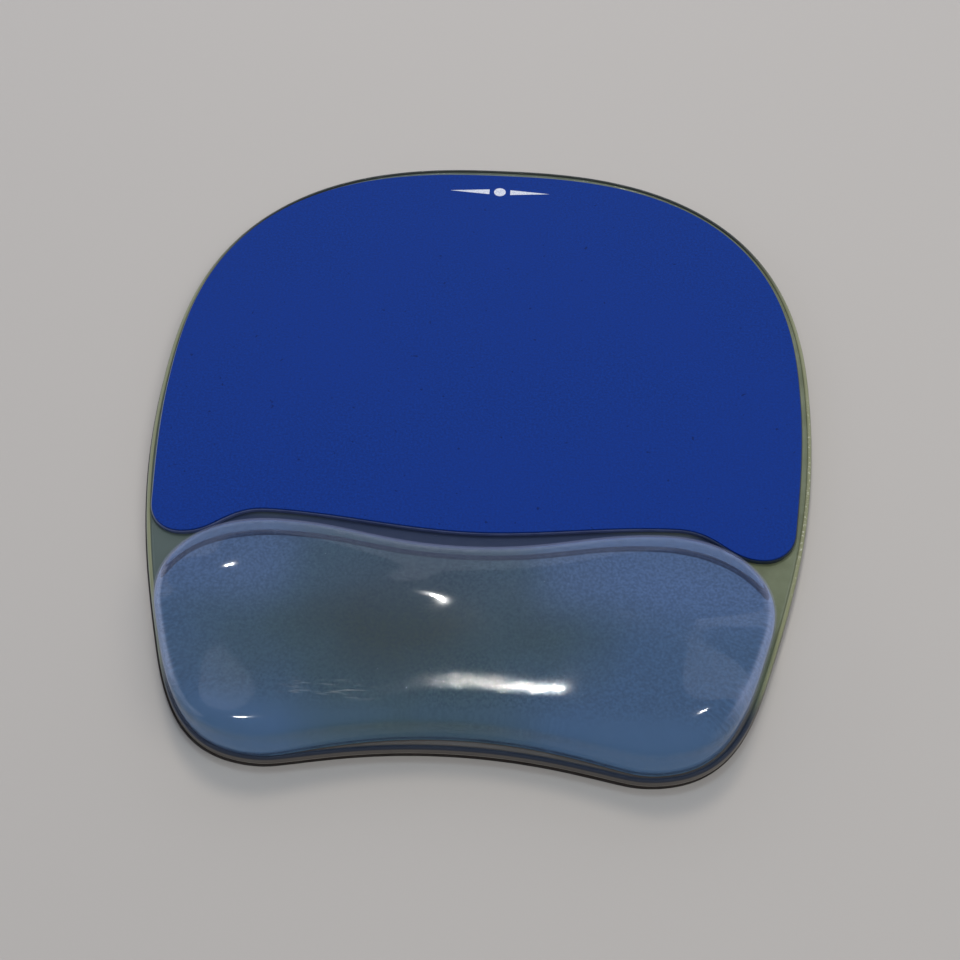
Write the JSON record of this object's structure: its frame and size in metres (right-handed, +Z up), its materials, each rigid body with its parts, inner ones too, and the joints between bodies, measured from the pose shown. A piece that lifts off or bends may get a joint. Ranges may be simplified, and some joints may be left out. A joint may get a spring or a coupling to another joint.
{
  "type": "mouse pad with gel wrist rest",
  "caption": "Rounded mouse pad with a knit surface and a clear waisted gel wrist cushion along its front edge, on a low-rimmed tray with a non-slip underside.",
  "frame": {"origin": "middle of the underside, on the surface that the part lies on", "axes": "+X to the user's right, +Y away from the user, +Z up"},
  "size_m": [0.202, 0.235, 0.0181],
  "materials": {
    "nonslip_rubber": "matte, fine moulded texture",
    "tray_plastic": "satin olive grey, slightly translucent",
    "adhesive": "thin tacky film",
    "backing_plastic": "satin, pale grey green",
    "blue_knit": "fine flat knit, laminated",
    "white_ink": "matte screen print",
    "clear_film": "smooth film",
    "gel": "clear blue-grey gel",
    "clear_skin": "glossy soft film"
  },
  "bodies": {
    "root": {"nonslip_sheet": "nonslip_rubber", "base_tray": "tray_plastic", "pad_adhesive": "adhesive", "pad_backing": "backing_plastic", "pad_fabric": "blue_knit", "printed_ornament": "white_ink", "gel_adhesive": "adhesive", "gel_backing_film": "clear_film", "gel_core": "gel", "gel_skin": "clear_skin"}
  },
  "joints": []
}
